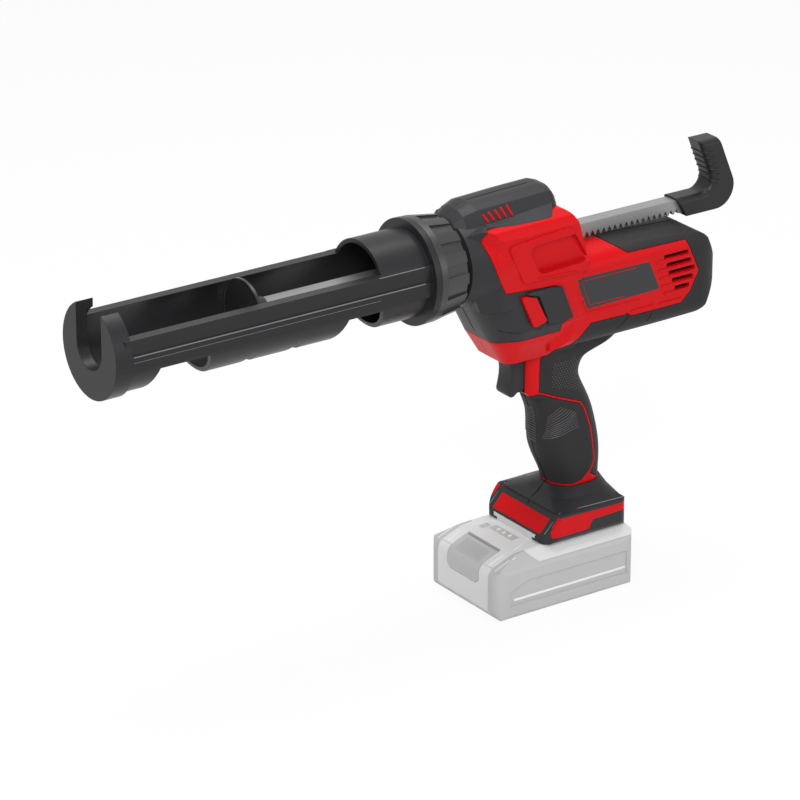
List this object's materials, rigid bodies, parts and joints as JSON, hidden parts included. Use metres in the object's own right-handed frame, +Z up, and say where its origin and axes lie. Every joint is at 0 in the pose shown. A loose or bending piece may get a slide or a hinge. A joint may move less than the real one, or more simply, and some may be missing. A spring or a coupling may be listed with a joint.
{
  "type": "cordless caulking gun",
  "caption": "Battery caulking tool with an open cartridge trough, toothed push rod, geared motor drive, pistol grip and slide-on battery.",
  "frame": {"origin": "on the underside of the battery, below the handle, where the tool stands", "axes": "+X to the rear along the barrel, +Z up, +Y to the tool's right side"},
  "size_m": [0.5037, 0.079, 0.2935],
  "materials": {
    "cradle_plastic": "fine moulded grain",
    "nut_plastic": "fine moulded grain",
    "rod_steel": "drawn bar, lightly oiled",
    "plunger_steel": "plain zinc finish",
    "handle_plastic": "fine moulded grain",
    "gear_steel": "cut steel",
    "bronze": "sintered bronze",
    "frame_metal": "die cast",
    "guide_plastic": "plain",
    "board_green": "lacquered board",
    "motor_steel": "zinc plated can",
    "motor_plastic": "plain",
    "dark_plastic": "fine moulded grain",
    "red_plastic": "satin with a fine grain",
    "soft_grip": "matt soft overmould",
    "plate_black": "smooth satin",
    "screw_steel": "blackened",
    "battery_grey": "fine moulded grain",
    "battery_pale": "fine moulded grain",
    "latch_grey": "fine moulded grain",
    "cell_wrap": "shrink-wrapped cells"
  },
  "bodies": {
    "housing": {"threaded_ring": "nut_plastic", "front_rod_guide": "nut_plastic", "shaft_bushes": "bronze", "terminal_blades": "bronze", "drive_frame": "frame_metal", "gear_unit": "frame_metal", "rod_slide_pad": "guide_plastic", "rear_rod_guide": "guide_plastic", "trigger_switch": "guide_plastic", "terminal_block": "guide_plastic", "control_board": "board_green", "motor_can": "motor_steel", "motor_end_cap": "motor_plastic", "nose_cover_left": "dark_plastic", "nose_cover_right": "dark_plastic", "foot_cover_left": "dark_plastic", "foot_cover_right": "dark_plastic", "body_shell_left": "red_plastic", "body_shell_right": "red_plastic", "foot_front_panel": "red_plastic", "foot_stripe_left": "red_plastic", "foot_stripe_right": "red_plastic", "rear_bumper_left": "soft_grip", "rear_bumper_right": "soft_grip", "spine_grip_left": "soft_grip", "spine_grip_right": "soft_grip", "palm_grip_left": "soft_grip", "palm_grip_right": "soft_grip", "side_plate": "plate_black", "housing_screws": "screw_steel"},
    "cradle": {"cradle": "cradle_plastic"},
    "union_nut": {"union_nut": "nut_plastic"},
    "rod": {"rack_rod": "rod_steel", "plunger": "plunger_steel", "plunger_screw": "plunger_steel", "pull_handle": "handle_plastic", "handle_pin": "plunger_steel"},
    "pinion": {"pinion_shaft": "gear_steel", "rack_pinion": "gear_steel", "driven_gear": "gear_steel"},
    "drive": {"drive_shaft": "gear_steel", "drive_gear": "gear_steel"},
    "rotor": {"motor_rotor": "motor_plastic"},
    "trigger": {"trigger": "dark_plastic"},
    "release_button": {"release_button": "red_plastic"},
    "battery": {"battery_lower_case": "battery_grey", "battery_upper_case": "battery_pale", "battery_cells": "cell_wrap", "battery_contacts": "bronze", "battery_front_frame": "battery_pale", "charge_indicator": "latch_grey"},
    "battery_latch": {"battery_latch": "latch_grey"}
  },
  "joints": [
    {"name": "cradle_turn", "type": "hinge", "parent": "housing", "child": "cradle", "pos_m": [-0.2, 0, 0.25], "axis": [1, 0, 0], "continuous": true},
    {"name": "union_nut_turn", "type": "hinge", "parent": "housing", "child": "union_nut", "pos_m": [-0.09, 0, 0.25], "axis": [1, 0, 0], "continuous": true},
    {"name": "rod_slide", "type": "slide", "parent": "housing", "child": "rod", "axis": [1, 0, 0], "range_m": [-0.09, 0.12]},
    {"name": "pinion_turn", "type": "hinge", "parent": "housing", "child": "pinion", "pos_m": [-0.022, 0, 0.2375], "axis": [0, 1, 0], "continuous": true},
    {"name": "drive_gear_turn", "type": "hinge", "parent": "housing", "child": "drive", "pos_m": [-0.022, 0, 0.2105], "axis": [0, 1, 0], "continuous": true},
    {"name": "motor_turn", "type": "hinge", "parent": "housing", "child": "rotor", "pos_m": [0.06, 0, 0.2105], "axis": [1, 0, 0], "continuous": true},
    {"name": "trigger_press", "type": "slide", "parent": "housing", "child": "trigger", "axis": [1, 0, 0], "range_m": [0, 0.006], "stiffness_N_per_m": 600, "springref_m": -0.004},
    {"name": "release_press", "type": "slide", "parent": "housing", "child": "release_button", "axis": [0, 1, 0], "range_m": [0, 0.003], "stiffness_N_per_m": 800, "springref_m": -0.002},
    {"name": "battery_slide", "type": "slide", "parent": "housing", "child": "battery", "axis": [-1, 0, 0], "range_m": [0, 0.1]},
    {"name": "battery_latch_press", "type": "slide", "parent": "battery", "child": "battery_latch", "axis": [1, 0, 0], "range_m": [0, 0.002], "stiffness_N_per_m": 900, "springref_m": -0.002}
  ],
  "couplings": [
    {"joint": "pinion_turn", "follows": "rod_slide", "rad_per_m": 111.11},
    {"joint": "drive_gear_turn", "follows": "rod_slide", "rad_per_m": -174.6}
  ]
}
